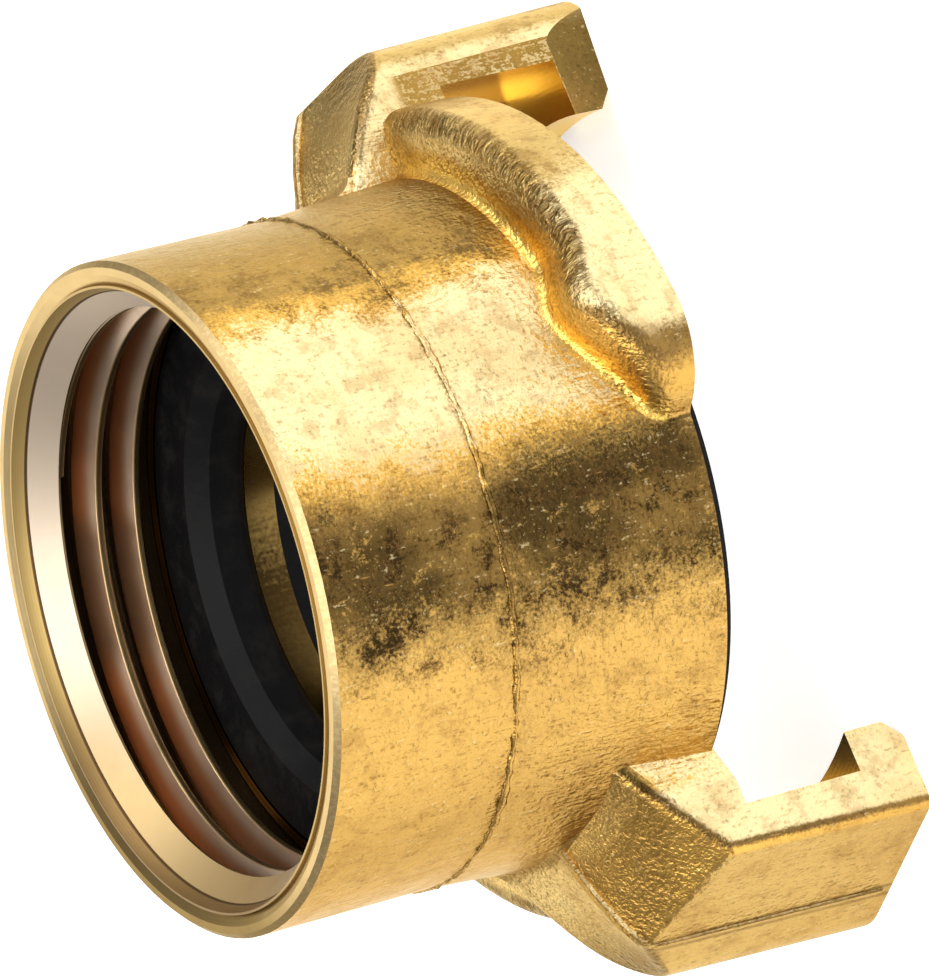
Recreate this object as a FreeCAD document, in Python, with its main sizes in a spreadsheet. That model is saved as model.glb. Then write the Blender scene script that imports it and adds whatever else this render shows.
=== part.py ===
import FreeCAD, Part
import math
import os
import Sketcher

# Hose quick coupling with two claws and an internal pipe thread, standing on its claw tips.
# The Z axis is the flow axis, the threaded mouth is on top, and the claws lie on the X axis.
# The forging's parting plane is XZ: the two die halves leave along +Y and -Y.
doc = FreeCAD.newDocument("hose_quick_coupling")
sheet = doc.addObject("Spreadsheet::Sheet", "dims")

sizes = [
    # Barrel
    ("barrel_top", 33.8, "mouth face above the claw tips"),
    ("collar_wall", 1.42, "wall outside the thread, from the mouth to the flash ring"),
    ("mouth_edge", 0.3, "broken outer edge of the mouth"),
    ("collar_length", 10.6, "mouth collar, down to the trimmed flash ring"),
    ("face_wall", 2.33, "the same at the sealing face, after the draft"),
    ("face_height", 11.1, "brass sealing face above the claw tips"),
    # Threaded socket, drawn at the thread's major diameter
    ("thread_radius", 16.62, "G 1 internal thread, major radius"),
    ("rim_step", 0.7, "width of the mouth's slope, outside the thread"),
    ("rim_slope", 0.38, "fall of the mouth's face to the thread"),
    ("gasket_thick", 3.0, "flat gasket"),
    ("seat_step", 0.27, "gasket's seat, smaller than the thread"),
    ("gasket_play", 0.2, "room round the gasket"),
    ("gasket_hole", 11.95, "hole in the flat gasket"),
    ("gasket_bevel", 0.5, "softened inner edge of the gasket"),
    ("web_thick", 1.8, "web between the two seals"),
    ("port_radius", 11.7, "bore through the web"),
    # Front cavity with the undercut that holds the seal
    ("cavity_depth", 9.3, "cavity in the front, from the sealing face to the web"),
    ("cavity_mouth", 14.6, "opening of the cavity"),
    ("cavity_lip", 2.2, "lip that holds the seal's foot"),
    ("cavity_radius", 16.1, "undercut behind the lip"),
    ("seal_play", 0.25, "room between seal and brass"),
    ("seal_head", 18.2, "radius of the seal's head"),
    ("seal_edge", 0.7, "height of the head's edge above the brass"),
    ("seal_crown", 1.4, "height of the head's crown above the brass"),
    ("crown_outer", 15.6, "outer radius of the crown"),
    ("crown_inner", 12.9, "inner radius of the crown"),
    ("seal_hole", 11.9, "hole through the seal"),
    ("foot_hole", 11.75, "hole at the seal's foot"),
    # Cam ribs
    ("rib_reach", 3.25, "reach of the cam ribs beyond the barrel"),
    ("rib_nose", 3.05, "nose of the rib past the middle"),
    ("nose_height", 1.7, "rib thickness at the nose"),
    ("ramp_end", 3.0, "end of the cam ramp"),
    ("ramp_height", 5.1, "rib thickness at the hump"),
    ("hump_end", 4.4, "far end of the hump"),
    ("rest_start", 7.0, "start of the resting stretch"),
    ("rest_height", 4.05, "rib thickness where the mate's claw rests"),
    ("rib_root", 21.6, "rib runs into the claw up to here"),
    ("root_height", 3.5, "rib thickness at the claw"),
    ("cam_round", 2.6, "rounding of hump and hollow"),
    ("nose_corner", 5.0, "rounding of the nose"),
    ("rib_edge", 1.4, "rounding of the rib's rear edge"),
    ("rib_foot", 0.5, "fillet between rib and barrel"),
    # Claw block, seen from the front, and its draft from the tip to its rear end
    ("claw_flat", 7.39, "flat face from the parting plane"),
    ("claw_far", 6.82, "far face from the parting plane"),
    ("claw_core", 14.0, "start of the claw, inside the barrel"),
    ("flat_outer", 23.3, "outside at the flat face"),
    ("far_outer", 27.32, "outside at the far face"),
    ("block_height", 18.0, "height of the block before its back is shaped"),
    ("claw_draft", 0.6, "draft of the outside over that height"),
    ("claw_round", 3.6, "rounding between outside and far face"),
    ("flat_round", 0.9, "rounding between outside and flat face"),
    ("claw_edge", 0.8, "rounding of the back's edges"),
    # Hollow foot between the claw's back and the barrel, in three sections like the back
    ("foot_round", 1.5, "radius of the hollow"),
    ("foot_sink", 1.0, "its depth in the barrel and in the claw"),
    ("foot_inset", 0.3, "its end sections inside the claw's faces"),
    ("flat_wall", 17.0, "barrel wall at the flat face"),
    ("flat_start", 16.3, "the back's height there"),
    ("flat_run", 0.7, "hollow along the back"),
    ("flat_rise", 0.9, "hollow up the wall"),
    ("mid_wall", 18.4, "barrel wall at the parting plane"),
    ("mid_start", 17.05, "the back's height there"),
    ("mid_run", 1.15, "hollow along the back"),
    ("mid_rise", 1.4, "hollow up the wall"),
    ("far_wall", 17.3, "barrel wall at the far face"),
    ("far_start", 17.55, "the back's height there"),
    ("far_run", 0.8, "hollow along the back"),
    ("far_rise", 0.8, "hollow up the wall"),
    # Back of the claw: three side profiles, at the flat face, the parting plane and the far face
    ("back_top", 22.0, "clear above the claw"),
    ("flat_root", 19.0, "height of the flat profile at its start"),
    ("flat_back", 90.0, "radius of the flat profile"),
    ("flat_end", 24.5, "end of the flat profile, outside the claw"),
    ("flat_fall", 10.6, "height of that end"),
    ("mid_root", 18.0, "height of the middle profile at its start"),
    ("mid_back", 21.0, "radius of the middle profile"),
    ("mid_end", 27.0, "end of the middle profile, outside the claw"),
    ("mid_fall", 13.6, "height of that end"),
    ("far_root", 18.8, "height of the far profile at its start"),
    ("far_back", 21.3, "radius of the far profile"),
    ("far_end", 28.5, "end of the far profile, outside the claw"),
    ("far_fall", 7.2, "height of that end"),
    # Claw throat: turned inside, milled to the bar
    ("lip_radius", 19.8, "inside of the claw tips"),
    ("lip_bevel", 1.0, "bevel of the tip's inner edge"),
    ("lip_thick", 3.9, "claw tip, at its inner edge"),
    ("lip_root", 3.3, "claw tip, at the bar"),
    ("turned_radius", 20.6, "reach of the turning tool"),
    ("throat_radius", 22.5, "radius of the bar's inner side"),
    ("throat_shift", 1.6, "its centre, off the axis towards the far face"),
    ("throat_rise", 0.7, "rise of the throat's floor at the bar"),
    ("floor_start", 18.5, "where the throat's floor begins to rise"),
    # Lead-in bevel of the tip on the far side, wide inside and narrow outside
    ("lead_wide", 1.7, "bevel across the claw, inside"),
    ("lead_narrow", 0.3, "bevel across the claw, outside"),
    ("lead_height", 3.4, "bevel along the axis"),
    ("lead_inner", 18.0, "section of the wide bevel"),
    ("lead_outer", 27.0, "section of the narrow bevel"),
]
size = {}
for row, (name, number, note) in enumerate(sizes, start=1):
    sheet.set("A%d" % row, name)
    sheet.set("B%d" % row, str(number))
    sheet.set("C%d" % row, note)
    sheet.setAlias("B%d" % row, name)
    size[name] = number
doc.recompute()


# A coordinate is a text such as "barrel_top - rim_slope": its number, and its expression
def number_of(text):
    total = 0.0
    sign = 1.0
    for word in text.split():
        if word == "+" or word == "-":
            sign = 1.0 if word == "+" else -1.0
        else:
            total += sign * (size[word] if word in size else float(word))
    return total


def bound(text):
    return " ".join("dims." + word if word in size else word for word in text.split())


def plane_of(body, role):
    return [one for one in body.Origin.OriginFeatures if one.Role == role][0]


# Closed outline of lines, or arcs where a corner gives the radius of the edge that follows it.
# The arc bulges to the left of the way it is drawn.
def outline(body, name, role, corners, offset=None):
    sketch = body.newObject("Sketcher::SketchObject", name)
    sketch.AttachmentSupport = [(plane_of(body, role), "")]
    sketch.MapMode = "FlatFace"
    if offset:
        sketch.setExpression("AttachmentOffset.Base.z", bound(offset))
    points = [FreeCAD.Vector(number_of(one[0]), number_of(one[1]), 0) for one in corners]
    for index, corner in enumerate(corners):
        start = points[index]
        end = points[(index + 1) % len(points)]
        if len(corner) == 2:
            sketch.addGeometry(Part.LineSegment(start, end), False)
            continue
        radius = number_of(corner[2])
        chord = end - start
        side = FreeCAD.Vector(-chord.y, chord.x, 0).normalize()
        sagitta = radius - math.sqrt(radius ** 2 - (chord.Length / 2) ** 2)
        middle = (start + end) * 0.5 + side * sagitta
        sketch.addGeometry(Part.Arc(start, middle, end), False)
    count = len(corners)

    # An arc is stored turning left, so one that bulges to the left has its ends swapped
    def ends(index):
        return (1, 2) if len(corners[index]) == 2 else (2, 1)

    for index, corner in enumerate(corners):
        first, last = ends(index)
        after = (index + 1) % count
        sketch.addConstraint(Sketcher.Constraint("Coincident", index, last, after, ends(after)[0]))
        for kind, text, axis in (("DistanceX", corner[0], -2), ("DistanceY", corner[1], -1)):
            if text == "0":
                sketch.addConstraint(Sketcher.Constraint("PointOnObject", index, first, axis))
                continue
            number = sketch.addConstraint(
                Sketcher.Constraint(kind, -1, 1, index, first, number_of(text)))
            label = "%s%d" % (kind[-1].lower(), index)
            sketch.renameConstraint(number, label)
            sketch.setExpression("Constraints." + label, bound(text))
        if len(corner) == 3:
            number = sketch.addConstraint(
                Sketcher.Constraint("Radius", index, number_of(corner[2])))
            sketch.renameConstraint(number, "r%d" % index)
            sketch.setExpression("Constraints.r%d" % index, bound(corner[2]))
    sketch.Visibility = False
    return sketch


def turned(body, kind, name, corners):
    sketch = outline(body, name + "Profile", "XZ_Plane", corners)
    feature = body.newObject("PartDesign::" + kind, name)
    feature.Profile = sketch
    feature.ReferenceAxis = (sketch, ["V_Axis"])
    feature.Angle = 360
    doc.recompute()
    return feature


# Names of the edges of the last feature whose middle passes a test
def edges_where(feature, test):
    names = []
    for index, edge in enumerate(feature.Shape.Edges, start=1):
        first, last = edge.ParameterRange
        middle = edge.valueAt((first + last) / 2)
        if test(edge, middle):
            names.append("Edge%d" % index)
    return names


def straight(edge, axis):
    if not isinstance(edge.Curve, Part.Line):
        return False
    return abs(abs(edge.Curve.Direction[axis]) - 1) < 1e-6


def rounded(body, name, alias, test):
    base = body.Tip
    names = edges_where(base, test)
    fillet = body.newObject("PartDesign::Fillet", name)
    fillet.Base = (base, names)
    fillet.setExpression("Radius", "dims." + alias)
    doc.recompute()
    print(name, len(names), "edges", fillet.State, round(fillet.Shape.Volume, 1))
    return fillet


# Forged and turned brass body
body = doc.addObject("PartDesign::Body", "coupling_body")
body.Label = "coupling_body"

collar_outside = "thread_radius + collar_wall"
face_outside = "thread_radius + face_wall"
rib_outside = face_outside + " + rib_reach"

# Cam rib: its rear face is a ramp, a hump and a resting stretch, seen along the die's pull
rib_profile = outline(body, "RibProfile", "XZ_Plane", [
    ("0 - rib_nose", "face_height"),
    ("0 - rib_nose", "face_height + nose_height"),
    ("ramp_end", "face_height + ramp_height"),
    ("hump_end", "face_height + ramp_height"),
    ("rest_start", "face_height + rest_height"),
    ("rib_root", "face_height + root_height"),
    ("rib_root", "face_height"),
])
rib = body.newObject("PartDesign::Pad", "Rib")
rib.Profile = rib_profile
rib.setExpression("Length", bound(rib_outside + " + rib_edge"))
doc.recompute()

# The rib's outside is round about the axis
turned(body, "Groove", "RibTrim", [
    (rib_outside, "face_height - rib_edge"),
    (rib_outside + " + rib_root", "face_height - rib_edge"),
    (rib_outside + " + rib_root", "face_height + ramp_height + rib_edge"),
    (rib_outside, "face_height + ramp_height + rib_edge"),
])
rounded(body, "CamRound", "cam_round", lambda edge, at: (
    straight(edge, 1) and at.z > size["face_height"] + size["rest_height"] - 0.1))
rounded(body, "NoseCorner", "nose_corner", lambda edge, at: (
    straight(edge, 2) and at.x < 0 and at.y < -1))
rounded(body, "RibEdge", "rib_edge", lambda edge, at: (
    not straight(edge, 1) and not straight(edge, 2) and at.z > size["face_height"] + 0.1
    and math.hypot(at.x, at.y) > number_of(rib_outside) - 1.2))

# Claw block with its inclined outside, leaning inwards towards the rear
block_front = outline(body, "ClawFront", "XY_Plane", [
    ("claw_core", "0 - claw_far"),
    ("far_outer", "0 - claw_far"),
    ("flat_outer", "claw_flat"),
    ("claw_core", "claw_flat"),
])
block = body.newObject("PartDesign::Pad", "ClawBlock")
block.Profile = block_front
block.UseCustomVector = True
block.AlongSketchNormal = True
block.setExpression("Direction.x", "0 - dims.claw_draft / dims.block_height")
block.Direction = FreeCAD.Vector(-size["claw_draft"] / size["block_height"], 0, 1)
block.setExpression("Length", "dims.block_height")
doc.recompute()
print("block", block.State, block.Direction, round(block.Shape.Volume, 1), block.Shape.BoundBox.ZMax)
rounded(body, "ClawRound", "claw_round", lambda edge, at: (
    at.x > size["flat_outer"] and abs(at.y + size["claw_far"]) < 0.01
    and 1 < at.z < size["block_height"] - 1))
rounded(body, "FlatRound", "flat_round", lambda edge, at: (
    at.x > size["flat_outer"] - 2 and abs(at.y - size["claw_flat"]) < 0.01
    and 1 < at.z < size["block_height"] - 1))


# Back of the claw, one cut for each die half, between side profiles
def back_profile(side, offset):
    return outline(body, "Back" + side.capitalize(), "XZ_Plane", [
        ("claw_core", side + "_root", side + "_back"),
        (side + "_end", side + "_fall"),
        (side + "_end", "back_top"),
        ("claw_core", "back_top"),
    ], offset)


back_flat = back_profile("flat", "0 - claw_flat")
back_mid = back_profile("mid", "0")
back_far = back_profile("far", "claw_far")
for name, profile in (("BackFlatHalf", back_flat), ("BackFarHalf", back_far)):
    before = body.Shape.Volume
    cut = body.newObject("PartDesign::SubtractiveLoft", name)
    cut.Profile = profile
    cut.Sections = [back_mid]
    cut.Ruled = True
    doc.recompute()
    print(name, cut.State, round(before - body.Shape.Volume, 2), body.Shape.isValid())

rounded(body, "ClawEdges", "claw_edge", lambda edge, at: (
    at.x > size["claw_core"] + 2 and not straight(edge, 2) and at.z > size["face_height"]
    and edge.BoundBox.ZMax > size["face_height"] + 1 and at.y > 0.1 - size["claw_far"]
    and edge.BoundBox.YLength > 0.5 and edge.BoundBox.XMax > size["flat_outer"] - 1))

# Hollow foot where the claw's back runs into the barrel
def foot_section(side, offset):
    foot_end = side + "_wall + " + side + "_run"
    foot_top = side + "_start + " + side + "_rise"
    return outline(body, "Foot" + side.capitalize(), "XZ_Plane", [
        (side + "_wall - foot_sink", side + "_start - foot_sink"),
        (foot_end, side + "_start - foot_sink"),
        (foot_end, side + "_start", "foot_round"),
        (side + "_wall", foot_top),
        (side + "_wall - foot_sink", foot_top),
    ], offset)


foot_flat = foot_section("flat", "foot_inset - claw_flat")
foot_mid = foot_section("mid", "0")
foot_far = foot_section("far", "claw_far - foot_inset")
foot = body.newObject("PartDesign::AdditiveLoft", "ClawFoot")
foot.Profile = foot_flat
foot.Sections = [foot_mid, foot_far]
foot.Ruled = True
doc.recompute()
print("foot", foot.State, round(body.Shape.Volume, 1), body.Shape.isValid())


# Lead-in bevel on the far side of the claw tip
def lead_profile(name, width, offset):
    return outline(body, name, "YZ_Plane", [
        ("0 - claw_far - " + width, "0 - lead_height"),
        (width + " - claw_far", "0"),
        ("0 - claw_far", "lead_height"),
        ("0 - claw_far - " + width, "lead_height + lead_height"),
    ], offset)


before = body.Shape.Volume
lead_inside = lead_profile("LeadInside", "lead_wide", "lead_inner")
lead_outside = lead_profile("LeadOutside", "lead_narrow", "lead_outer + 1")
bevel = body.newObject("PartDesign::SubtractiveLoft", "LeadIn")
bevel.Profile = lead_inside
bevel.Sections = [lead_outside]
bevel.Ruled = True
doc.recompute()
print("bevel cuts", bevel.State, round(before - body.Shape.Volume, 2))

# The bar's inner side is milled about a centre of its own
before = body.Shape.Volume
throat_sketch = body.newObject("Sketcher::SketchObject", "ThroatCircle")
throat_sketch.AttachmentSupport = [(plane_of(body, "XY_Plane"), "")]
throat_sketch.MapMode = "FlatFace"
throat_sketch.setExpression("AttachmentOffset.Base.z", bound("face_height - throat_rise"))
centre = FreeCAD.Vector(0, -size["throat_shift"], 0)
throat_sketch.addGeometry(Part.Circle(centre, FreeCAD.Vector(0, 0, 1), size["throat_radius"]), False)
throat_sketch.addConstraint(Sketcher.Constraint("PointOnObject", 0, 3, -2))
throat_sketch.addConstraint(Sketcher.Constraint("DistanceY", 0, 3, -1, 1, size["throat_shift"]))
throat_sketch.addConstraint(Sketcher.Constraint("Radius", 0, size["throat_radius"]))
throat_sketch.setExpression("Constraints[1]", "dims.throat_shift")
throat_sketch.setExpression("Constraints[2]", "dims.throat_radius")
throat_sketch.Visibility = False
throat = body.newObject("PartDesign::Pocket", "Throat")
throat.Profile = throat_sketch
throat.setExpression("Length", bound("face_height - throat_rise - lip_root"))
doc.recompute()
print("throat cuts", throat.State, round(before - body.Shape.Volume, 2))

# The coupling is alike after half a turn
pair = doc.addObject("PartDesign::PolarPattern", "HalfTurn")
body.addObject(pair)
pair.TransformMode = "Whole shape"
pair.Axis = (plane_of(body, "Z_Axis"), [""])
pair.Angle = 360
pair.Occurrences = 2
body.Tip = pair
doc.recompute()
print("pair", pair.State, round(pair.Shape.Volume, 1), len(pair.Shape.Solids))

turned(body, "Revolution", "Barrel", [
    ("0", "face_height"),
    (face_outside, "face_height"),
    (collar_outside, "barrel_top - collar_length"),
    (collar_outside, "barrel_top - mouth_edge"),
    (collar_outside + " - mouth_edge", "barrel_top"),
    ("0", "barrel_top"),
])
print("barrel", round(body.Shape.Volume, 1), len(body.Shape.Solids), body.Shape.isValid())

# The foot fillet starts at the nose and runs along the whole rib by tangency
rounded(body, "RibFoot", "rib_foot", lambda edge, at: (
    abs(at.x) < size["rib_nose"] + 0.1 and at.x * at.y > 0
    and size["face_height"] + 0.3 < at.z < size["face_height"] + size["nose_height"]
    and math.hypot(at.x, at.y) < number_of(face_outside) + 0.1))

# Machining, after forging: the socket from above and the front from below
seat_outside = "thread_radius - seat_step"
web_face = "face_height + cavity_depth + web_thick"
turned(body, "Groove", "Socket", [
    ("0", "face_height + cavity_depth - 1"),
    ("port_radius", "face_height + cavity_depth - 1"),
    ("port_radius", web_face),
    (seat_outside, web_face),
    (seat_outside, web_face + " + gasket_thick"),
    ("thread_radius", web_face + " + gasket_thick"),
    ("thread_radius", "barrel_top - rim_slope"),
    ("thread_radius + rim_step", "barrel_top"),
    ("thread_radius + rim_step", "barrel_top + 1"),
    ("0", "barrel_top + 1"),
])
print("socket", round(body.Shape.Volume, 1), body.Shape.isValid())
turned(body, "Groove", "Front", [
    ("0", "0 - 1"),
    ("lip_radius + lip_bevel", "0 - 1"),
    ("lip_radius + lip_bevel", "0"),
    ("lip_radius", "lip_bevel"),
    ("lip_radius", "lip_thick"),
    ("turned_radius", "lip_root"),
    ("turned_radius", "face_height - throat_rise"),
    ("floor_start", "face_height"),
    ("cavity_mouth", "face_height"),
    ("cavity_mouth", "face_height + cavity_lip"),
    ("cavity_radius", "face_height + cavity_lip"),
    ("cavity_radius", "face_height + cavity_depth"),
    ("0", "face_height + cavity_depth"),
])
print("front", round(body.Shape.Volume, 1), body.Shape.isValid())

# Moulded rubber seal: its foot sits behind the cavity's lip, its head lies on the brass face
seal = doc.addObject("PartDesign::Body", "claw_seal")
seal.Label = "claw_seal"
turned(seal, "Revolution", "Seal", [
    ("foot_hole", "face_height + cavity_depth"),
    ("seal_hole", "face_height"),
    ("crown_inner", "face_height - seal_crown"),
    ("crown_outer", "face_height - seal_crown"),
    ("seal_head", "face_height - seal_edge"),
    ("seal_head", "face_height"),
    ("cavity_mouth - seal_play", "face_height"),
    ("cavity_mouth - seal_play", "face_height + cavity_lip + seal_play"),
    ("cavity_radius - seal_play", "face_height + cavity_lip + seal_play"),
    ("cavity_radius - seal_play", "face_height + cavity_depth"),
])

# Flat gasket at the bottom of the socket
gasket = doc.addObject("PartDesign::Body", "thread_gasket")
gasket.Label = "thread_gasket"
turned(gasket, "Revolution", "Gasket", [
    ("gasket_hole", web_face),
    (seat_outside + " - gasket_play", web_face),
    (seat_outside + " - gasket_play", web_face + " + gasket_thick"),
    ("gasket_hole + gasket_bevel + gasket_bevel", web_face + " + gasket_thick"),
    ("gasket_hole", web_face + " + gasket_thick - gasket_bevel - gasket_bevel"),
])

doc.recompute()
pieces = [body, seal, gasket]
for one in doc.Objects:
    if "Invalid" in one.State or "Error" in one.State:
        raise RuntimeError("%s failed: %s" % (one.Name, one.State))
for piece in pieces:
    if piece.Shape.isNull() or not piece.Shape.isValid() or len(piece.Shape.Solids) != 1:
        raise RuntimeError(piece.Label + " is not one valid solid")
os.makedirs("parts", exist_ok=True)
for piece in pieces:
    piece.Shape.exportStep("parts/%s.step" % piece.Label)
    box = piece.Shape.BoundBox
    print(piece.Label, "volume", round(piece.Shape.Volume, 1), "box",
          [round(number, 2) for number in (box.XMin, box.XMax, box.YMin, box.YMax, box.ZMin, box.ZMax)])
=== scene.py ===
import bpy
import math
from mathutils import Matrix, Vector


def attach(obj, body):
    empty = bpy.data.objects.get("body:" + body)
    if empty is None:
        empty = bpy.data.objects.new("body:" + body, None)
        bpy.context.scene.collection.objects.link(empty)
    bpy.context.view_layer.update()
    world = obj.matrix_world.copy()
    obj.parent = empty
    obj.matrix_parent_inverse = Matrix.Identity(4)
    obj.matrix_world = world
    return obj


# Hose quick coupling: forged and turned brass body, moulded seal, flat gasket
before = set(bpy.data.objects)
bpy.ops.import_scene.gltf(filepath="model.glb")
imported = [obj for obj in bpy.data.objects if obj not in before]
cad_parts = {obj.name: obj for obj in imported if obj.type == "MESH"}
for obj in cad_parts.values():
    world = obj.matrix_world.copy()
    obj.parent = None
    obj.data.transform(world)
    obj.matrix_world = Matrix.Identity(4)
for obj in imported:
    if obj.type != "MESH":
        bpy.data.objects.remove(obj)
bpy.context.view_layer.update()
bpy.ops.object.select_all(action="DESELECT")
print("frame loaded:", sorted(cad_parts))


# Small helpers for shader nodes: each returns the socket that the next node reads
def addMath(tree, operation, first, second=None, third=None):
    node = tree.nodes.new("ShaderNodeMath")
    node.operation = operation
    for socket, value in zip(node.inputs, (first, second, third)):
        if value is None:
            continue
        if isinstance(value, (int, float)):
            socket.default_value = value
        else:
            tree.links.new(value, socket)
    return node.outputs[0]


def addMix(tree, factor, first, second, blend="MIX"):
    node = tree.nodes.new("ShaderNodeMix")
    node.data_type = "RGBA"
    node.blend_type = blend
    for socket, value in ((node.inputs[0], factor), (node.inputs[6], first), (node.inputs[7], second)):
        if isinstance(value, (int, float, tuple)):
            socket.default_value = value
        else:
            tree.links.new(value, socket)
    return node.outputs[2]


def addNoise(tree, vector, scale, detail=3.0, rough=0.55, twist=0.0):
    node = tree.nodes.new("ShaderNodeTexNoise")
    node.inputs["Scale"].default_value = scale
    node.inputs["Detail"].default_value = detail
    node.inputs["Roughness"].default_value = rough
    node.inputs["Distortion"].default_value = twist
    tree.links.new(vector, node.inputs["Vector"])
    return node.outputs["Fac"]


def addRamp(tree, factor, stops):
    node = tree.nodes.new("ShaderNodeValToRGB")
    while len(node.color_ramp.elements) < len(stops):
        node.color_ramp.elements.new(0.5)
    for element, (place, color) in zip(node.color_ramp.elements, stops):
        element.position = place
        element.color = color if isinstance(color, tuple) else (color, color, color, 1)
    tree.links.new(factor, node.inputs["Fac"])
    return node.outputs["Color"]


def addRange(tree, value, low, high):
    node = tree.nodes.new("ShaderNodeMapRange")
    node.interpolation_type = "SMOOTHSTEP"
    node.inputs["From Min"].default_value = low
    node.inputs["From Max"].default_value = high
    tree.links.new(value, node.inputs["Value"])
    return node.outputs["Result"]


def addStretch(tree, vector, stretch, turn=(0, 0, 0)):
    node = tree.nodes.new("ShaderNodeMapping")
    node.inputs["Scale"].default_value = stretch
    node.inputs["Rotation"].default_value = turn
    tree.links.new(vector, node.inputs["Vector"])
    return node.outputs["Vector"]


def newGroup(name, inputs, outputs):
    group = bpy.data.node_groups.new(name, "ShaderNodeTree")
    for label, kind in inputs:
        group.interface.new_socket(name=label, in_out="INPUT", socket_type=kind)
    for label, kind in outputs:
        group.interface.new_socket(name=label, in_out="OUTPUT", socket_type=kind)
    start = group.nodes.new("NodeGroupInput")
    end = group.nodes.new("NodeGroupOutput")
    return group, start, end


def newMaterial(name):
    material = bpy.data.materials.new(name)
    material.use_nodes = True
    return material, material.node_tree, material.node_tree.nodes["Principled BSDF"]


# Where a point lies on the part, in millimetres, and which way its face looks
def buildPlaceGroup():
    group, start, end = newGroup("placeOnPart", [
        ("Object", "NodeSocketVector"), ("Facing", "NodeSocketVector")], [
        ("Position", "NodeSocketVector"), ("Height", "NodeSocketFloat"), ("Reach", "NodeSocketFloat"),
        ("Aside", "NodeSocketFloat"), ("Half", "NodeSocketFloat"), ("Lean", "NodeSocketFloat"),
        ("Side", "NodeSocketFloat"), ("Tilt", "NodeSocketFloat"), ("Inward", "NodeSocketFloat"),
        ("Ripple", "NodeSocketFloat")])
    scaled = group.nodes.new("ShaderNodeVectorMath")
    scaled.operation = "SCALE"
    scaled.inputs["Scale"].default_value = 1000.0
    group.links.new(start.outputs["Object"], scaled.inputs[0])
    parts = group.nodes.new("ShaderNodeSeparateXYZ")
    group.links.new(scaled.outputs[0], parts.inputs[0])
    facing = group.nodes.new("ShaderNodeSeparateXYZ")
    group.links.new(start.outputs["Facing"], facing.inputs[0])
    alongX, alongY, height = parts.outputs[0], parts.outputs[1], parts.outputs[2]
    faceX, faceY = facing.outputs[0], facing.outputs[1]
    reach = addMath(group, "SQRT", addMath(group, "ADD", addMath(group, "MULTIPLY", alongX, alongX),
                                           addMath(group, "MULTIPLY", alongY, alongY)))
    # The face's direction round the axis, from 0 to 1, the same after half a turn
    turn = addMath(group, "MULTIPLY_ADD", addMath(group, "GREATER_THAN", faceY, 0.0), -2.0, 1.0)
    angle = addMath(group, "ARCTAN2", addMath(group, "MULTIPLY", faceY, turn),
                    addMath(group, "MULTIPLY", faceX, turn))
    outward = addMath(group, "ADD", addMath(group, "MULTIPLY", alongX, faceX),
                      addMath(group, "MULTIPLY", alongY, faceY))
    # Short ripples, along the way round the axis
    across = group.nodes.new("ShaderNodeCombineXYZ")
    arc = addMath(group, "MULTIPLY", addMath(group, "ARCTAN2", alongY, alongX), 21.0)
    group.links.new(arc, across.inputs[0])
    group.links.new(addMath(group, "MULTIPLY", height, 0.35), across.inputs[1])
    group.links.new(addMath(group, "MULTIPLY", reach, 0.35), across.inputs[2])
    for label, value in (
            ("Position", scaled.outputs[0]), ("Height", height), ("Reach", reach),
            ("Aside", addMath(group, "ABSOLUTE", alongY)),
            ("Half", addMath(group, "MULTIPLY", alongX, alongY)),
            ("Lean", addMath(group, "SUBTRACT", alongY, alongX)),
            ("Side", addMath(group, "MULTIPLY_ADD", angle, 1 / math.pi, 1.0)),
            ("Tilt", facing.outputs[2]),
            ("Inward", addMath(group, "LESS_THAN", outward, -2.0)),
            ("Ripple", addNoise(group, across.outputs[0], 2.4, 2.0, 0.65, 1.3))):
        group.links.new(value, end.inputs[label])
    return group


# Forged skin: shallow pits, long die marks along the pull, scratches, and blotches of oxide
def buildSkinGroup():
    group, start, end = newGroup("forgedSkin", [("Position", "NodeSocketVector")], [
        ("Relief", "NodeSocketFloat"), ("Pits", "NodeSocketFloat"), ("Scratch", "NodeSocketFloat"),
        ("Blotch", "NodeSocketFloat"), ("Fleck", "NodeSocketFloat"), ("Drift", "NodeSocketFloat")])
    place = start.outputs["Position"]
    pits = addNoise(group, place, 3.6, 2.0, 0.62)
    swell = addNoise(group, place, 0.9, 2.0, 0.5)
    marks = addNoise(group, addStretch(group, place, (3.4, 3.4, 0.5)), 1.6, 1.0, 0.6)
    leftward = addNoise(group, addStretch(group, place, (5.0, 5.0, 0.8), (0.7, 0.5, 0.3)), 1.0, 1.0, 0.5)
    rightward = addNoise(group, addStretch(group, place, (5.0, 0.8, 5.0), (-0.5, 0.4, 0.8)), 1.0, 1.0, 0.5)
    scratch = addMath(group, "MAXIMUM", addRange(group, leftward, 0.71, 0.80),
                      addRange(group, rightward, 0.72, 0.80))
    relief = addMath(group, "MULTIPLY_ADD", swell, 1.0, addMath(group, "MULTIPLY_ADD", marks, 0.37,
                 addMath(group, "MULTIPLY", pits, 0.5)))
    relief = addMath(group, "SUBTRACT", relief, 0.935)
    for label, value in (
            ("Relief", relief),
            ("Pits", addMath(group, "MULTIPLY_ADD", marks, 0.4, addMath(group, "MULTIPLY", pits, 0.6))),
            ("Scratch", scratch),
            ("Blotch", addNoise(group, place, 0.55, 5.0, 0.72)),
            ("Fleck", addNoise(group, place, 5.5, 2.0, 0.7)),
            ("Drift", addNoise(group, place, 0.16, 3.0, 0.55))):
        group.links.new(value, end.inputs[label])
    return group


placeGroup = buildPlaceGroup()
skinGroup = buildSkinGroup()


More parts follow.
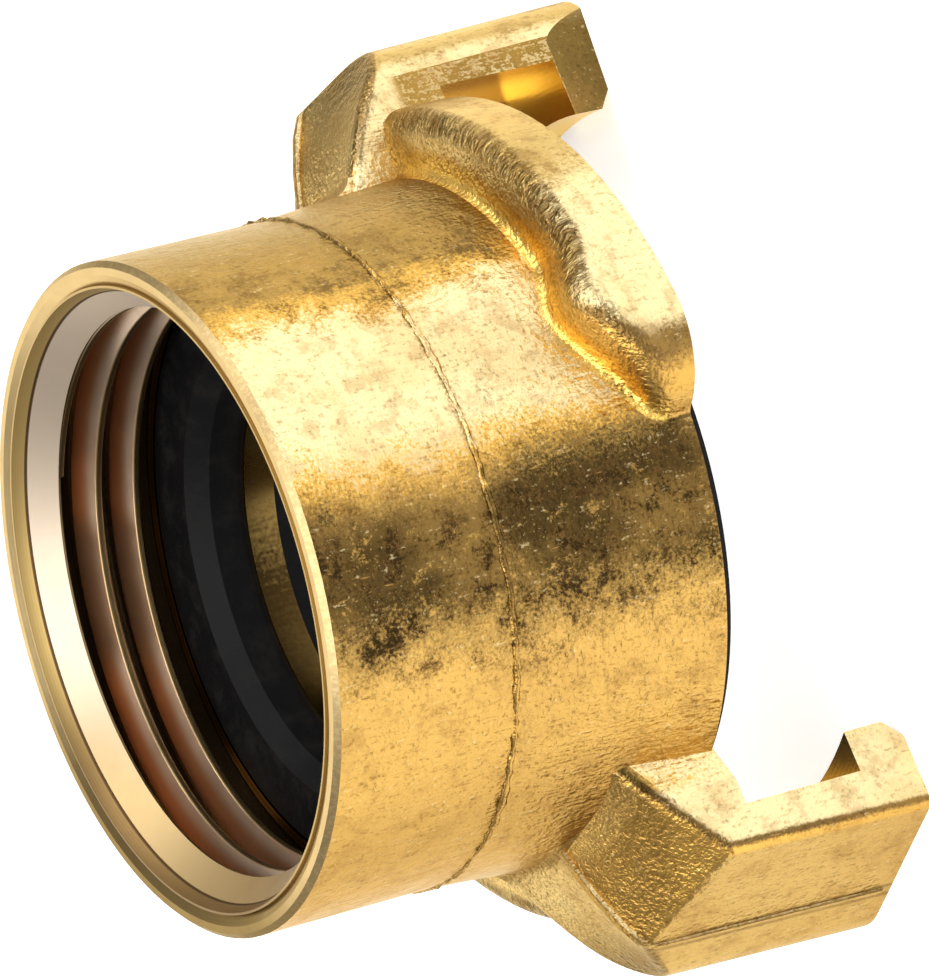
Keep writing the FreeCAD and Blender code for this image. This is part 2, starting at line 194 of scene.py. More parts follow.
def useGroups(tree):
    coords = tree.nodes.new("ShaderNodeTexCoord")
    where = tree.nodes.new("ShaderNodeGroup")
    where.node_tree = placeGroup
    tree.links.new(coords.outputs["Object"], where.inputs["Object"])
    tree.links.new(coords.outputs["Normal"], where.inputs["Facing"])
    skin = tree.nodes.new("ShaderNodeGroup")
    skin.node_tree = skinGroup
    tree.links.new(where.outputs["Position"], skin.inputs["Position"])
    return where.outputs, skin.outputs


# Plain pale floor, far larger than the view
floorSizes = {"side": 8.0, "color": (0.90, 0.90, 0.90, 1.0), "glow": 0.6}
bpy.ops.mesh.primitive_plane_add(size=floorSizes["side"], location=(0, 0, 0))
floor = bpy.context.object
floor.name = "floor"
floorMaterial, tree, shader = newMaterial("paleFloor")
shader.inputs["Base Color"].default_value = floorSizes["color"]
shader.inputs["Roughness"].default_value = 0.9
shader.inputs["Emission Color"].default_value = (1, 1, 1, 1)
shader.inputs["Emission Strength"].default_value = floorSizes["glow"]
# The floor and the sky are even, so neither needs to be sampled as a light
floorMaterial.cycles.emission_sampling = "NONE"
floor.data.materials.append(floorMaterial)
floor.select_set(False)
print("floor done")

# Forged brass, toned by which way each face looks round the axis: a pale band of rubbed bright metal and
# painted reflection, warm gold elsewhere, and an olive band of oxide and painted shade
brassLook = {
    "paleGold": (0.73, 0.59, 0.31, 1),
    "creamGold": (0.62, 0.45, 0.18, 1),
    "rippleBrown": (0.12, 0.065, 0.016, 1),
    "deepGold": (0.60, 0.34, 0.062, 1),
    "reflectedFootGold": (0.92, 0.60, 0.14, 1),
    "backBrown": (0.36, 0.205, 0.045, 1),
    "edgeBrown": (0.15, 0.09, 0.028, 1),
    "ribGold": (0.44, 0.31, 0.11, 1),
    "lightGold": (0.55, 0.33, 0.085, 1),
    "warmGold": (0.42, 0.245, 0.064, 1),
    "brownGold": (0.27, 0.165, 0.045, 1),
    "tanGold": (0.31, 0.225, 0.10, 1),
    "sideGold": (0.48, 0.31, 0.10, 1),
    "backGold": (0.64, 0.37, 0.08, 1),
    "olive": (0.052, 0.032, 0.010, 1),
    "bandOlive": (0.22, 0.13, 0.026, 1),
    "endOlive": (0.15, 0.095, 0.026, 1),
    "darkOxide": (0.020, 0.013, 0.005, 1),
    "turnedGold": (0.50, 0.36, 0.16, 1),
    "rimGold": (0.52, 0.38, 0.18, 1),
    "stainBrown": (0.40, 0.21, 0.06, 1),
    "rimShade": (0.11, 0.065, 0.017, 1),
    "portGold": (0.23, 0.15, 0.045, 1),
    "portBrown": (0.045, 0.026, 0.008, 1),
    "ochre": (0.97, 0.72, 0.22, 1),
    "lipBrown": (0.34, 0.21, 0.07, 1),
    "seatBrown": (0.05, 0.030, 0.013, 1),
    "wallBrown": (0.16, 0.095, 0.045, 1),
    "edgeTint": (0.96, 0.83, 0.60, 1),
    "skinDepth": 0.15,
    "rippleDepth": 0.5,
    "turnedDepth": 0.0012,
    "radiansPerMillimetre": 22.0,
    "socketReach": 16.66,
    "portReach": 11.8,
    "cavityReach": 14.0,
    "webHeight": 20.5,
    "rimHeight": 33.3,
    "rimBevelHeight": 33.0,
    "faceHigh": 11.15,
    "faceLow": 9.0,
    "innerHigh": 11.08,
    "lipHigh": 3.4,
    "ringHeight": 23.25,
}
brassMaterial, tree, shader = newMaterial("forgedBrass")
where, skin = useGroups(tree)
look = brassLook
blotch, fleck, drift = skin["Blotch"], skin["Fleck"], skin["Drift"]
wander = addMath(tree, "MULTIPLY_ADD", drift, 0.07, -0.035)
ragged = addMath(tree, "MULTIPLY_ADD", blotch, 0.10, -0.05)
ragged = addMath(tree, "ADD", ragged, addMath(tree, "MULTIPLY_ADD", fleck, 0.10, -0.05))
side = addMath(tree, "ADD", where["Side"], addMath(tree, "ADD", wander, ragged))
# Bands along the barrel by the face's direction: partly oxide and rubbed metal, partly painted reflection
# and painted shade
barrelOxideAndReflection = addRamp(tree, side, [
    (0.00, look["warmGold"]), (0.10, look["warmGold"]), (0.17, look["lightGold"]),
    (0.275, look["lightGold"]), (0.315, look["brownGold"]), (0.345, look["olive"]),
    (0.425, look["olive"]), (0.450, look["brownGold"]), (0.470, look["deepGold"]),
    (0.495, look["paleGold"]), (0.620, look["paleGold"]), (0.645, look["deepGold"]),
    (0.680, look["brownGold"]), (0.74, look["brownGold"]), (0.83, look["tanGold"]),
    (1.00, look["warmGold"])])
# Tones of the claws' and ribs' faces by their direction: painted reflection and painted shade
clawFaceReflection = addRamp(tree, side, [
    (0.00, look["sideGold"]), (0.12, look["sideGold"]), (0.19, look["backGold"]), (0.28, look["backGold"]),
    (0.345, look["edgeBrown"]), (0.415, look["edgeBrown"]), (0.47, look["paleGold"]),
    (0.63, look["paleGold"]), (0.69, look["ribGold"]), (0.80, look["creamGold"]),
    (0.86, look["tanGold"]), (1.00, look["sideGold"])])
zone = addMix(tree, addRange(tree, where["Reach"], 19.8, 20.6), barrelOxideAndReflection, clawFaceReflection)
# Painted reflection: faces turned to the rear are creamier and the rib's foot is deep gold. The rib's
# rounded edge holds ripples, which are real marks, in a dark tone that is painted shade
farHalf = addRange(tree, where["Half"], -4.0, -20.0)
rearReflection = addMath(tree, "MULTIPLY", addRange(tree, where["Tilt"], 0.72, 0.9),
               addMath(tree, "MULTIPLY_ADD", farHalf, 0.6, 0.1))
zone = addMix(tree, rearReflection, zone, look["creamGold"])
foot = addMath(tree, "MULTIPLY", addRange(tree, where["Tilt"], 0.08, 0.25),
               addRange(tree, where["Reach"], 20.4, 19.6))
foot = addMath(tree, "MULTIPLY", foot, addRange(tree, where["Reach"], 18.3, 18.7))
foot = addMath(tree, "MULTIPLY", foot, addRange(tree, where["Aside"], 7.0, 8.6))
footReflectionTone = addMix(tree, addRange(tree, where["Reach"], 19.9, 19.2), look["deepGold"], look["reflectedFootGold"])
zone = addMix(tree, foot, zone, footReflectionTone)
edge = addMath(tree, "MULTIPLY", addRange(tree, where["Tilt"], 0.22, 0.45),
               addRange(tree, where["Reach"], 20.7, 21.3))
edge = addMath(tree, "MULTIPLY", edge, addRange(tree, where["Aside"], 7.2, 8.2))
edge = addMath(tree, "MULTIPLY", edge, addRange(tree, where["Half"], -60.0, -110.0))
ripple = addRange(tree, where["Ripple"], 0.60, 0.40)
zone = addMix(tree, addMath(tree, "MULTIPLY", edge, addMath(tree, "MULTIPLY_ADD", ripple, 0.62, 0.30)),
              zone, look["rippleBrown"])
# Painted shade: a claw's back is deeper gold on the near half, and brown on the rounded edge of the far
# half
claw = addMath(tree, "MULTIPLY", addRange(tree, where["Aside"], 7.4, 7.2),
               addRange(tree, where["Reach"], 19.4, 20.2))
back = addMath(tree, "MULTIPLY", addRange(tree, where["Tilt"], 0.72, 0.78),
               addMath(tree, "SUBTRACT", 1.0, farHalf))
zone = addMix(tree, addMath(tree, "MULTIPLY", addMath(tree, "MULTIPLY", claw, back), 0.85), zone,
              look["backBrown"])
clawEdgeShade = addMath(tree, "MULTIPLY", addRange(tree, where["Tilt"], 0.20, 0.35),
                   addRange(tree, where["Tilt"], 0.84, 0.72))
clawEdgeShade = addMath(tree, "MULTIPLY", addMath(tree, "MULTIPLY", clawEdgeShade, claw), farHalf)
zone = addMix(tree, addMath(tree, "MULTIPLY", clawEdgeShade, 0.75), zone, look["edgeBrown"])
# Darker strips along both sides of the flash lines, and a painted shadow along the flash ring
seam = addMath(tree, "MULTIPLY", addRange(tree, where["Aside"], 0.20, 0.30),
               addRange(tree, where["Aside"], 0.62, 0.40))
seam = addMath(tree, "MULTIPLY", seam, addRange(tree, where["Reach"], 23.9, 24.3))
offRing = addMath(tree, "ABSOLUTE", addMath(tree, "SUBTRACT", where["Height"], look["ringHeight"]))
ringShadow = addRange(tree, offRing, 0.42, 0.14)
ringShadow = addMath(tree, "MULTIPLY", ringShadow, addRange(tree, where["Reach"], 18.12, 18.02))
ringShadow = addMath(tree, "MULTIPLY", ringShadow, addRange(tree, fleck, 0.40, 0.56))
ringShadow = addMath(tree, "MULTIPLY", ringShadow, addRange(tree, side, 0.36, 0.50))
seamDarkAndRingShadow = addMath(tree, "MAXIMUM", addMath(tree, "MULTIPLY", seam, 0.7),
               addMath(tree, "MULTIPLY", ringShadow, 0.75))
zone = addMix(tree, seamDarkAndRingShadow, zone, look["edgeBrown"])
# Painted shade on the far face of a claw: an olive band along the window, and a darker end
level = addMath(tree, "MULTIPLY", addMath(tree, "LESS_THAN", where["Aside"], 7.0), farHalf)
level = addMath(tree, "MULTIPLY", level, addRange(tree, where["Reach"], 19.0, 19.6))
bandPlace = addMath(tree, "MULTIPLY", addRange(tree, where["Reach"], 24.75, 24.3),
                    addRange(tree, where["Height"], 13.4, 12.6))
bandPlace = addMath(tree, "MULTIPLY", bandPlace, addMath(tree, "GREATER_THAN", where["Aside"], 6.7))
windowBandShade = addMath(tree, "MULTIPLY", addMath(tree, "MULTIPLY", level, bandPlace),
                   addMath(tree, "MULTIPLY_ADD", addRange(tree, skin["Pits"], 0.40, 0.525), 0.6, 0.4))
zone = addMix(tree, windowBandShade, zone, look["bandOlive"])
clawEndShade = addMath(tree, "MULTIPLY", level, addRange(tree, where["Tilt"], -0.15, -0.26))
clawEndShade = addMath(tree, "MULTIPLY", clawEndShade, addMath(tree, "LESS_THAN", where["Height"], 3.2))
zone = addMix(tree, clawEndShade, zone, look["endOlive"])
# Blotches: more oxide in the olive band, a few elsewhere. The heavier oxide in the band is partly painted
# shade, and the glints there are painted highlights
band = addRamp(tree, side, [(0.28, 0.0), (0.34, 1.0), (0.43, 1.0), (0.49, 0.0), (0.63, 0.0), (0.67, 0.55),
                            (0.72, 0.45), (0.78, 0.0)])
band = addMath(tree, "MULTIPLY", band, addMath(tree, "MULTIPLY_ADD",
               addRange(tree, where["Reach"], 19.8, 20.6), -0.6, 1.0))
spots = addMath(tree, "MULTIPLY_ADD", fleck, 0.30, addMath(tree, "MULTIPLY", blotch, 0.90))
oxideAndBandShade = addRange(tree, spots, 0.58, 0.74)
oxideAndBandShade = addMath(tree, "MULTIPLY", oxideAndBandShade, addMath(tree, "MULTIPLY_ADD", band, 0.8, 0.12))
glint = addMath(tree, "MULTIPLY", addRange(tree, spots, 0.54, 0.42), addMath(tree, "MULTIPLY", band, 0.45))
cloud = addRange(tree, drift, 0.42, 0.62)
color = addMix(tree, addMath(tree, "MULTIPLY", cloud, 0.30), zone, look["warmGold"])
stain = addMath(tree, "MULTIPLY", addRange(tree, blotch, 0.49, 0.62),
                addMath(tree, "MULTIPLY_ADD", fleck, 0.5, 0.2))
color = addMix(tree, addMath(tree, "MULTIPLY", stain, 0.6), color, look["stainBrown"])
color = addMix(tree, glint, color, look["lightGold"])
color = addMix(tree, oxideAndBandShade, color, look["darkOxide"])
# Painted shade in the pits and painted highlight on what stands proud, for the fine relief; bright metal
# along scratches
low = addMath(tree, "MULTIPLY", addRange(tree, skin["Pits"], 0.45, 0.34), 0.55)
high = addMath(tree, "MULTIPLY", addRange(tree, skin["Pits"], 0.59, 0.70), 0.75)
color = addMix(tree, low, color, addMix(tree, 0.75, color, look["brownGold"], "MULTIPLY"))
color = addMix(tree, high, color, addMix(tree, 0.5, color, look["paleGold"]))
color = addMix(tree, addMath(tree, "MULTIPLY", skin["Scratch"], 0.4), color, look["lightGold"])
# Turned faces: the mouth, the bores and the claws' inner sides
inside = addMath(tree, "LESS_THAN", where["Reach"], look["socketReach"])
rim = addMath(tree, "MULTIPLY", addMath(tree, "GREATER_THAN", where["Height"], look["rimHeight"]),
              addMath(tree, "GREATER_THAN", where["Tilt"], 0.6))
front = addMath(tree, "MULTIPLY", addMath(tree, "LESS_THAN", where["Height"], look["faceHigh"]),
                addMath(tree, "LESS_THAN", where["Tilt"], -0.5))
front = addMath(tree, "MULTIPLY", front, addMath(tree, "GREATER_THAN", where["Height"], look["faceLow"]))
lip = addMath(tree, "MULTIPLY", addMath(tree, "LESS_THAN", where["Height"], look["lipHigh"]),
              addMath(tree, "GREATER_THAN", where["Tilt"], 0.9))
inner = addMath(tree, "MULTIPLY", where["Inward"],
                addMath(tree, "LESS_THAN", where["Height"], look["innerHigh"]))
inner = addMath(tree, "MAXIMUM", inner, lip)
turned = addMath(tree, "MAXIMUM", addMath(tree, "MAXIMUM", inside, rim),
                 addMath(tree, "MAXIMUM", front, inner))
rings = addMath(tree, "SINE", addMath(tree, "MULTIPLY",
                addMath(tree, "ADD", where["Height"], where["Reach"]), look["radiansPerMillimetre"]))
rings = addMath(tree, "MULTIPLY_ADD", rings, 0.5, addMath(tree, "MULTIPLY", skin["Pits"], 0.8))
bare = addMix(tree, addMath(tree, "MULTIPLY", cloud, 0.5), look["turnedGold"], look["warmGold"])
# Painted reflection and shade on the front and inner faces: bright ochre on the far half, brown on the near
# half
bare = addMix(tree, addMath(tree, "MAXIMUM", front, inner), bare,
              addMix(tree, farHalf, look["lipBrown"], look["ochre"]))
# Painted shade: a dark strip along the water way, by the face's direction
port = addMath(tree, "LESS_THAN", where["Reach"], look["portReach"])
portStripShade = addRamp(tree, addMath(tree, "MULTIPLY_ADD", skin["Pits"], 0.3,
                                 addMath(tree, "SUBTRACT", where["Side"], 0.15)), [
    (0.0, look["portGold"]), (0.30, look["portGold"]), (0.42, look["portBrown"]), (1.0, look["portGold"])])
bare = addMix(tree, port, bare, portStripShade)
# Painted shade in the socket: its wall darker than the turned brass, darkest low at the seat
wall = addMath(tree, "MULTIPLY", addMath(tree, "GREATER_THAN", where["Reach"], look["cavityReach"]),
               addMath(tree, "GREATER_THAN", where["Height"], look["webHeight"]))
bare = addMix(tree, wall, bare, addMix(tree, addRange(tree, where["Height"], 25.1, 25.5),
                                       look["seatBrown"], look["wallBrown"]))
# Painted shade: the rim darker on one side, and a mottled dark line along the rim's bevel
shadedRim = addMath(tree, "MULTIPLY", addRange(tree, where["Lean"], 12.0, 22.0), 0.75)
rimBevelShade = addMath(tree, "MULTIPLY", addRange(tree, where["Tilt"], 0.36, 0.48),
               addRange(tree, where["Tilt"], 0.76, 0.62))
rimBevelShade = addMath(tree, "MULTIPLY", rimBevelShade, addMath(tree, "GREATER_THAN", where["Height"], look["rimBevelHeight"]))
rimBevelShade = addMath(tree, "MULTIPLY", rimBevelShade, addMath(tree, "MULTIPLY", addRange(tree, skin["Pits"], 0.40, 0.56),
                                               0.85))
bare = addMix(tree, rim, bare, addMix(tree, shadedRim, look["rimGold"], look["rimShade"]))
color = addMix(tree, turned, color, bare)
color = addMix(tree, rimBevelShade, color, look["edgeBrown"])
tree.links.new(color, shader.inputs["Base Color"])
shader.inputs["Metallic"].default_value = 1.0
shader.inputs["Specular Tint"].default_value = look["edgeTint"]
roughSkin = addMath(tree, "MULTIPLY_ADD", blotch, 0.25, 0.20)
roughSkin = addMath(tree, "ADD", roughSkin, addMath(tree, "MULTIPLY", oxideAndBandShade, 0.2))
roughBare = addMath(tree, "MULTIPLY_ADD", rim, addMath(tree, "MULTIPLY_ADD", blotch, 0.25, 0.06), 0.2)
rough = addMath(tree, "MULTIPLY_ADD", turned, addMath(tree, "SUBTRACT", roughBare, roughSkin), roughSkin)
tree.links.new(rough, shader.inputs["Roughness"])
# Heights in millimetres, each only where its surface is
skinHeight = addMath(tree, "MULTIPLY", skin["Relief"], look["skinDepth"])
rippled = addMath(tree, "MULTIPLY", addMath(tree, "SUBTRACT", where["Ripple"], 0.5), edge)
skinHeight = addMath(tree, "MULTIPLY_ADD", rippled, look["rippleDepth"], skinHeight)
ringHeight = addMath(tree, "MULTIPLY", rings, addMath(tree, "MULTIPLY_ADD", port, -look["turnedDepth"],
                                                      look["turnedDepth"]))
height = addMath(tree, "MULTIPLY_ADD", turned, addMath(tree, "SUBTRACT", ringHeight, skinHeight),
                 skinHeight)
brassBump = tree.nodes.new("ShaderNodeBump")
brassBump.inputs["Distance"].default_value = 0.001
tree.links.new(height, brassBump.inputs["Height"])
tree.links.new(brassBump.outputs["Normal"], shader.inputs["Normal"])
print("brass done")

# Turned brass inside the socket: smoother and redder, with fine lines left by the tool
threadLook = {
    "cream": (0.62, 0.51, 0.39, 1),
    "coneShade": (0.54, 0.39, 0.19, 1),
    "rimShade": (0.26, 0.165, 0.065, 1),
    "crest": (0.34, 0.235, 0.11, 1),
    "copper": (0.60, 0.33, 0.17, 1),
    "brown": (0.38, 0.25, 0.155, 1),
    "flankHighlight": (0.66, 0.50, 0.36, 1),
    "rimGold": (0.50, 0.35, 0.13, 1),
    "line": (0.10, 0.055, 0.022, 1),
    "depth": 0.0015,
    "radiansPerMillimetre": 30.0,
    "coneHeight": 31.60,
}
threadMaterial, tree, shader = newMaterial("turnedBrass")
where, skin = useGroups(tree)
valley = addRange(tree, where["Reach"], 15.24, 15.30)
# Painted shade: the thread darker over a stretch of faces, by their direction round the axis
shade = addRamp(tree, addMath(tree, "MULTIPLY_ADD", skin["Drift"], 0.06,
                              addMath(tree, "SUBTRACT", where["Side"], 0.03)), [
    (0.0, 0.1), (0.305, 0.1), (0.335, 1.0), (0.44, 1.0), (0.475, 0.0), (0.70, 0.3), (1.0, 0.3)])
# Painted highlight: each flank paler near the crest, copper deeper in
tone = addMix(tree, addRange(tree, where["Reach"], 15.55, 16.10), threadLook["flankHighlight"],
              threadLook["copper"])
tone = addMix(tree, shade, tone, threadLook["brown"])
tone = addMix(tree, valley, threadLook["crest"], tone)
cone = addMath(tree, "GREATER_THAN", where["Height"], threadLook["coneHeight"])
# Painted shade: the lead-in cone and the rim darker on one side
coneTone = addMix(tree, addRange(tree, where["Lean"], 12.0, 21.0), threadLook["cream"],
                  threadLook["coneShade"])
tone = addMix(tree, cone, tone, coneTone)
tone = addMix(tree, addRange(tree, where["Height"], 32.92, 32.97), tone, threadLook["line"])
rimTone = addMix(tree, addRange(tree, where["Lean"], 12.0, 21.0), threadLook["rimGold"],
                 threadLook["rimShade"])
tone = addMix(tree, addRange(tree, where["Height"], 33.03, 33.08), tone, rimTone)
tree.links.new(tone, shader.inputs["Base Color"])
shader.inputs["Metallic"].default_value = 1.0
soft = addMath(tree, "MULTIPLY_ADD", cone, 0.16, 0.28)
tree.links.new(addMath(tree, "MULTIPLY_ADD", skin["Blotch"], 0.14, soft), shader.inputs["Roughness"])
lines = addMath(tree, "SINE", addMath(tree, "MULTIPLY",
                addMath(tree, "ADD", where["Height"], where["Reach"]), threadLook["radiansPerMillimetre"]))
lines = addMath(tree, "MULTIPLY_ADD", lines, 0.4, skin["Fleck"])
threadBump = tree.nodes.new("ShaderNodeBump")
threadBump.inputs["Distance"].default_value = 0.001
tree.links.new(addMath(tree, "MULTIPLY", lines, threadLook["depth"]), threadBump.inputs["Height"])
tree.links.new(threadBump.outputs["Normal"], shader.inputs["Normal"])
print("thread finish done")

# Moulded rubber: matte black, finely pocked, a little paler where it has been handled
rubberLook = {"black": (0.004, 0.004, 0.0045, 1), "worn": (0.010, 0.0095, 0.009, 1), "depth": 0.010}
rubberMaterial, tree, shader = newMaterial("mouldedRubber")
where, skin = useGroups(tree)
handled = addRange(tree, skin["Blotch"], 0.45, 0.7)
tree.links.new(addMix(tree, handled, rubberLook["black"], rubberLook["worn"]), shader.inputs["Base Color"])
tree.links.new(addMath(tree, "MULTIPLY_ADD", handled, 0.15, 0.50), shader.inputs["Roughness"])
shader.inputs["Specular IOR Level"].default_value = 0.11
rubberBump = tree.nodes.new("ShaderNodeBump")
rubberBump.inputs["Distance"].default_value = 0.001
pocked = addMath(tree, "ADD", skin["Fleck"], skin["Relief"])
tree.links.new(addMath(tree, "MULTIPLY", pocked, rubberLook["depth"]), rubberBump.inputs["Height"])
tree.links.new(rubberBump.outputs["Normal"], shader.inputs["Normal"])
for name, material in (("coupling_body", brassMaterial), ("claw_seal", rubberMaterial),
                       ("thread_gasket", rubberMaterial)):
    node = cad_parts[name]
    node.data.materials.clear()
    node.data.materials.append(material)
print("rubber done")


# A finished piece: smooth shading, its finish, and what it rides on
def finishPiece(piece, name, material, angle=40.0):
    piece.name = name
    piece.data.materials.clear()
    piece.data.materials.append(material)
    bpy.ops.object.select_all(action="DESELECT")
    piece.select_set(True)
    bpy.context.view_layer.objects.active = piece
    bpy.ops.object.transform_apply(location=True, rotation=True, scale=True)
    bpy.ops.object.mode_set(mode="EDIT")
    bpy.ops.mesh.select_all(action="SELECT")
    bpy.ops.mesh.remove_doubles(threshold=1e-7)
    bpy.ops.mesh.normals_make_consistent(inside=False)
    bpy.ops.object.mode_set(mode="OBJECT")
    bpy.ops.object.shade_smooth_by_angle(angle=math.radians(angle))
    piece.select_set(False)
    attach(piece, "root")
    print(name, len(piece.data.polygons), "faces")


# Selects the corners of the piece being edited whose place passes the test
def pickCorners(piece, test):
    bpy.ops.object.mode_set(mode="OBJECT")
    for corner in piece.data.vertices:
        corner.select = test(corner.co * 1000)
    for line in piece.data.edges:
        line.select = all(piece.data.vertices[end].select for end in line.vertices)
    for face in piece.data.polygons:
        face.select = all(piece.data.vertices[end].select for end in face.vertices)
    bpy.ops.object.mode_set(mode="EDIT")


# Adds a modifier with its settings and applies it
def applyModifier(piece, name, kind, settings):
    bpy.context.view_layer.objects.active = piece
    modifier = piece.modifiers.new(name, kind)
    for label, value in settings.items():
        setattr(modifier, label, value)
    bpy.ops.object.modifier_apply(modifier=name)


# Internal pipe thread: one ridge screwed up the socket, its root sunk in the wall
threadSizes = {"pitch": 2.309, "wall": 16.75, "crest": 15.22, "crestFlat": 0.17, "flankAngle": 27.5,
               "crestRound": 0.07, "startHeight": 26.05, "startTurn": -80.0, "turns": 2.34,
               "stepsPerTurn": 96}
sizes = threadSizes
ridgeDepth = sizes["wall"] - sizes["crest"]
halfFoot = sizes["crestFlat"] + ridgeDepth * math.tan(math.radians(sizes["flankAngle"]))
midReach = (sizes["wall"] + sizes["crest"]) / 2
bpy.ops.mesh.primitive_plane_add(size=0.001, location=(midReach / 1000, 0, 0),
                                 rotation=(math.radians(90), 0, 0))
ridge = bpy.context.object
ridge.scale = (ridgeDepth, halfFoot * 2, 1)
bpy.ops.object.transform_apply(location=True, rotation=True, scale=True)
bpy.ops.object.mode_set(mode="EDIT")
bpy.ops.mesh.select_mode(type="VERT")
pickCorners(ridge, lambda at: at.x < midReach)
bpy.ops.transform.resize(value=(1, 1, sizes["crestFlat"] / halfFoot), center_override=(0, 0, 0))
bpy.ops.mesh.bevel(offset=sizes["crestRound"] / 1000, segments=2, affect="VERTICES")
bpy.ops.object.mode_set(mode="OBJECT")
steps = int(sizes["stepsPerTurn"] * sizes["turns"])
applyModifier(ridge, "turns", "SCREW", {
    "axis": "Z", "angle": math.radians(360.0 * sizes["turns"]), "use_merge_vertices": False,
    "screw_offset": sizes["pitch"] * sizes["turns"] / 1000, "steps": steps, "render_steps": steps})
bpy.ops.object.mode_set(mode="EDIT")
bpy.ops.mesh.select_all(action="SELECT")
bpy.ops.mesh.fill_holes(sides=0)
bpy.ops.object.mode_set(mode="OBJECT")
ridge.rotation_euler = (0, 0, math.radians(sizes["startTurn"]))
ridge.location = (0, 0, sizes["startHeight"] / 1000)
finishPiece(ridge, "threadRidge", threadMaterial, 15)

# Lead-in at the mouth: a loop drawn out of the wall, over the rim's bevel and down the cone
mouthSizes = {"steps": 180, "loops": [(16.75, 30.9), (16.75, 33.7), (16.62, 33.7), (16.38, 33.06),
                                      (16.31, 32.98), (16.30, 32.90), (15.21, 31.60), (15.23, 31.46)]}
reach, height = mouthSizes["loops"][0]
bpy.ops.mesh.primitive_circle_add(vertices=mouthSizes["steps"], radius=reach / 1000,
                                  location=(0, 0, height / 1000))
mouth = bpy.context.object
bpy.ops.object.transform_apply(location=True, rotation=True, scale=True)
bpy.ops.object.mode_set(mode="EDIT")
bpy.ops.mesh.select_all(action="SELECT")
for nextReach, nextHeight in mouthSizes["loops"][1:] + mouthSizes["loops"][:1]:
    bpy.ops.mesh.extrude_region_move(TRANSFORM_OT_translate={"value": (0, 0, (nextHeight - height) / 1000)})
    bpy.ops.transform.resize(value=(nextReach / reach, nextReach / reach, 1), center_override=(0, 0, 0))
    reach, height = nextReach, nextHeight
bpy.ops.object.mode_set(mode="OBJECT")
finishPiece(mouth, "mouthChamfer", threadMaterial, 25)

# Trimmed flash round the barrel where the collar's tool stopped, uneven along its length
ringSizes = {"reach": 18.00, "height": 23.2, "thick": 0.19, "flakes": 0.42, "flakeGrain": 0.42,
             "waves": 0.26, "waveGrain": 3.2}
bpy.ops.mesh.primitive_torus_add(
    major_segments=480, minor_segments=10, major_radius=ringSizes["reach"] / 1000,
    minor_radius=ringSizes["thick"] / 1000, location=(0, 0, ringSizes["height"] / 1000))
flashRing = bpy.context.object
bpy.ops.object.transform_apply(location=True, rotation=True, scale=True)
for label in ("flake", "wave"):
    grain = bpy.data.textures.new(label + "Grain", "CLOUDS")
    grain.noise_scale = ringSizes[label + "Grain"] / 1000
    applyModifier(flashRing, label, "DISPLACE", {
        "texture": grain, "texture_coords": "GLOBAL", "strength": ringSizes[label + "s"] / 1000,
        "mid_level": 0.53})
finishPiece(flashRing, "flashRing", brassMaterial, 60)

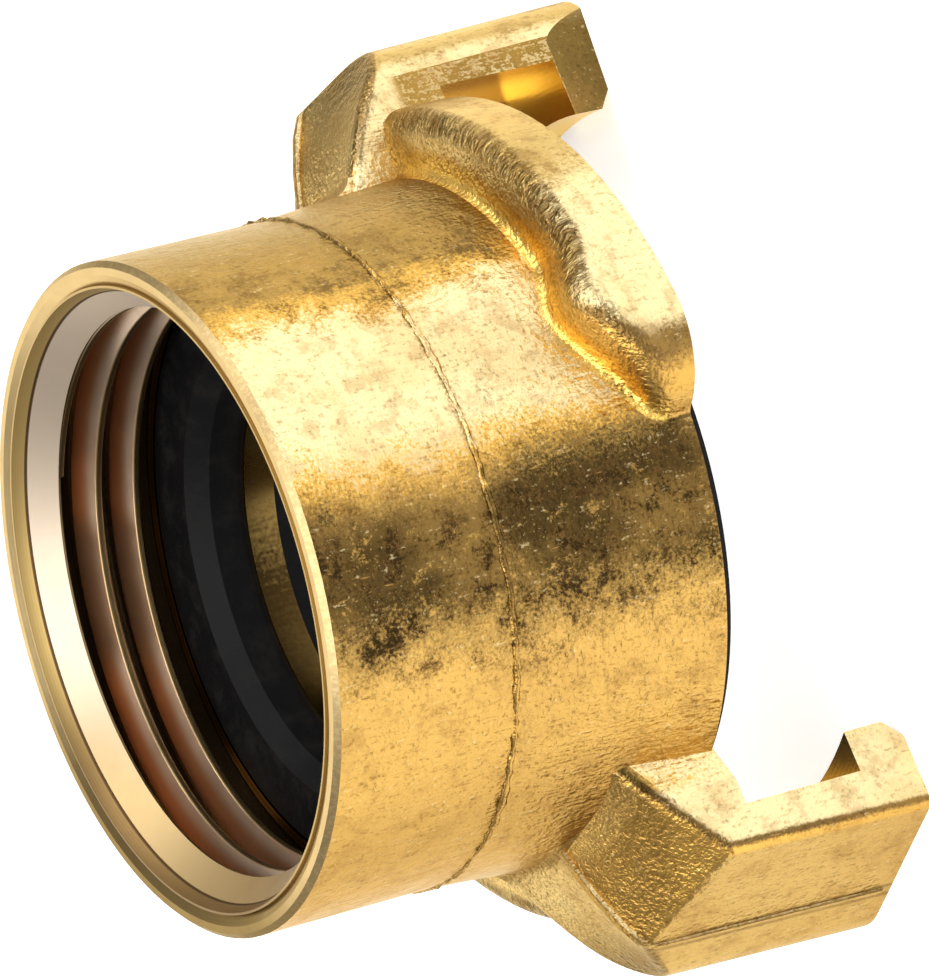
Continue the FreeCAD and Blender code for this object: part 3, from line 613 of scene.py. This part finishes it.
# Flash along the parting plane of each claw, up its back and down its outside
flashSizes = {"width": 0.52, "proud": 0.20, "sunk": 0.6, "round": 0.08,
              "path": [(17.4, 17.85), (19.4, 17.32), (21.3, 16.72), (23.2, 15.94), (24.4, 15.2),
                       (24.86, 14.3), (24.96, 12.0), (25.12, 7.0), (25.34, 0.5)]}
slant = math.sqrt(0.5)
flashDepth = flashSizes["proud"] + flashSizes["sunk"]
for sign, name in ((1, "flashPlus"), (-1, "flashMinus")):
    lastX, lastZ = flashSizes["path"][0]
    shift = (flashSizes["proud"] - flashSizes["sunk"]) / 2 * slant
    bpy.ops.mesh.primitive_plane_add(
        size=flashDepth / 1000, rotation=(math.radians(90), math.radians(-45 * sign), 0),
        location=(sign * (lastX + shift) / 1000, 0, (lastZ + shift) / 1000))
    ribbon = bpy.context.object
    bpy.ops.object.transform_apply(location=True, rotation=True, scale=True)
    bpy.ops.object.mode_set(mode="EDIT")
    bpy.ops.mesh.select_mode(type="VERT")
    pickCorners(ribbon, lambda at: at.x * sign - at.z > lastX - lastZ)
    bpy.ops.mesh.delete(type="VERT")
    bpy.ops.mesh.select_all(action="SELECT")
    bpy.ops.transform.translate(value=(sign * flashDepth / 2 * slant / 1000, 0,
                                       -flashDepth / 2 * slant / 1000))
    for nextX, nextZ in flashSizes["path"][1:]:
        bpy.ops.mesh.extrude_region_move(TRANSFORM_OT_translate={
            "value": (sign * (nextX - lastX) / 1000, 0, (nextZ - lastZ) / 1000)})
        lastX, lastZ = nextX, nextZ
    bpy.ops.object.mode_set(mode="OBJECT")
    applyModifier(ribbon, "thickness", "SOLIDIFY", {"thickness": flashSizes["width"] / 1000, "offset": 0})
    applyModifier(ribbon, "rounding", "BEVEL", {"width": flashSizes["round"] / 1000, "segments": 2,
                                                "limit_method": "ANGLE", "angle_limit": math.radians(60)})
    finishPiece(ribbon, name, brassMaterial, 40)

# Soft studio light from above in front, from the right and from behind
def addLight(name, place, aim, width, height, power):
    data = bpy.data.lights.new(name, "AREA")
    data.shape = "RECTANGLE"
    data.size = width
    data.size_y = height
    data.energy = power
    light = bpy.data.objects.new(name, data)
    bpy.context.scene.collection.objects.link(light)
    light.location = place
    light.rotation_euler = (Vector(aim) - Vector(place)).to_track_quat("-Z", "Y").to_euler()


addLight("overhead", (-0.15, -0.45, 0.85), (0, 0, 0), 1.0, 1.0, 10.0)
addLight("sideHigh", (0.75, -0.35, 0.5), (0, 0, 0.02), 0.5, 0.6, 4.0)
addLight("backWall", (0.1, 0.9, 0.45), (0, 0, 0.02), 1.1, 0.7, 4.0)
worldSizes = {"color": (1, 1, 1, 1), "strength": 0.45}
world = bpy.data.worlds.new("studio")
world.use_nodes = True
world.node_tree.nodes["Background"].inputs["Color"].default_value = worldSizes["color"]
world.node_tree.nodes["Background"].inputs["Strength"].default_value = worldSizes["strength"]
world.cycles.sampling_method = "NONE"
bpy.context.scene.world = world
bpy.context.scene.view_settings.view_transform = "Standard"
print("lights done")

# Camera at the photograph's viewing angle, a long lens with a large roll
cameraSizes = {
    "place": (-0.10707, -0.35547, 0.21167),
    "turn": (-0.436324, 1.027815, -2.366802),
    "lens": 291.37,
    "sensor": 36.0,
    "near": 0.01,
    "far": 50,
}
cameraData = bpy.data.cameras.new("productCamera")
cameraData.lens = cameraSizes["lens"]
cameraData.sensor_width = cameraSizes["sensor"]
cameraData.clip_start = cameraSizes["near"]
cameraData.clip_end = cameraSizes["far"]
camera = bpy.data.objects.new("productCamera", cameraData)
bpy.context.scene.collection.objects.link(camera)
camera.location = cameraSizes["place"]
camera.rotation_euler = cameraSizes["turn"]
bpy.context.scene.camera = camera
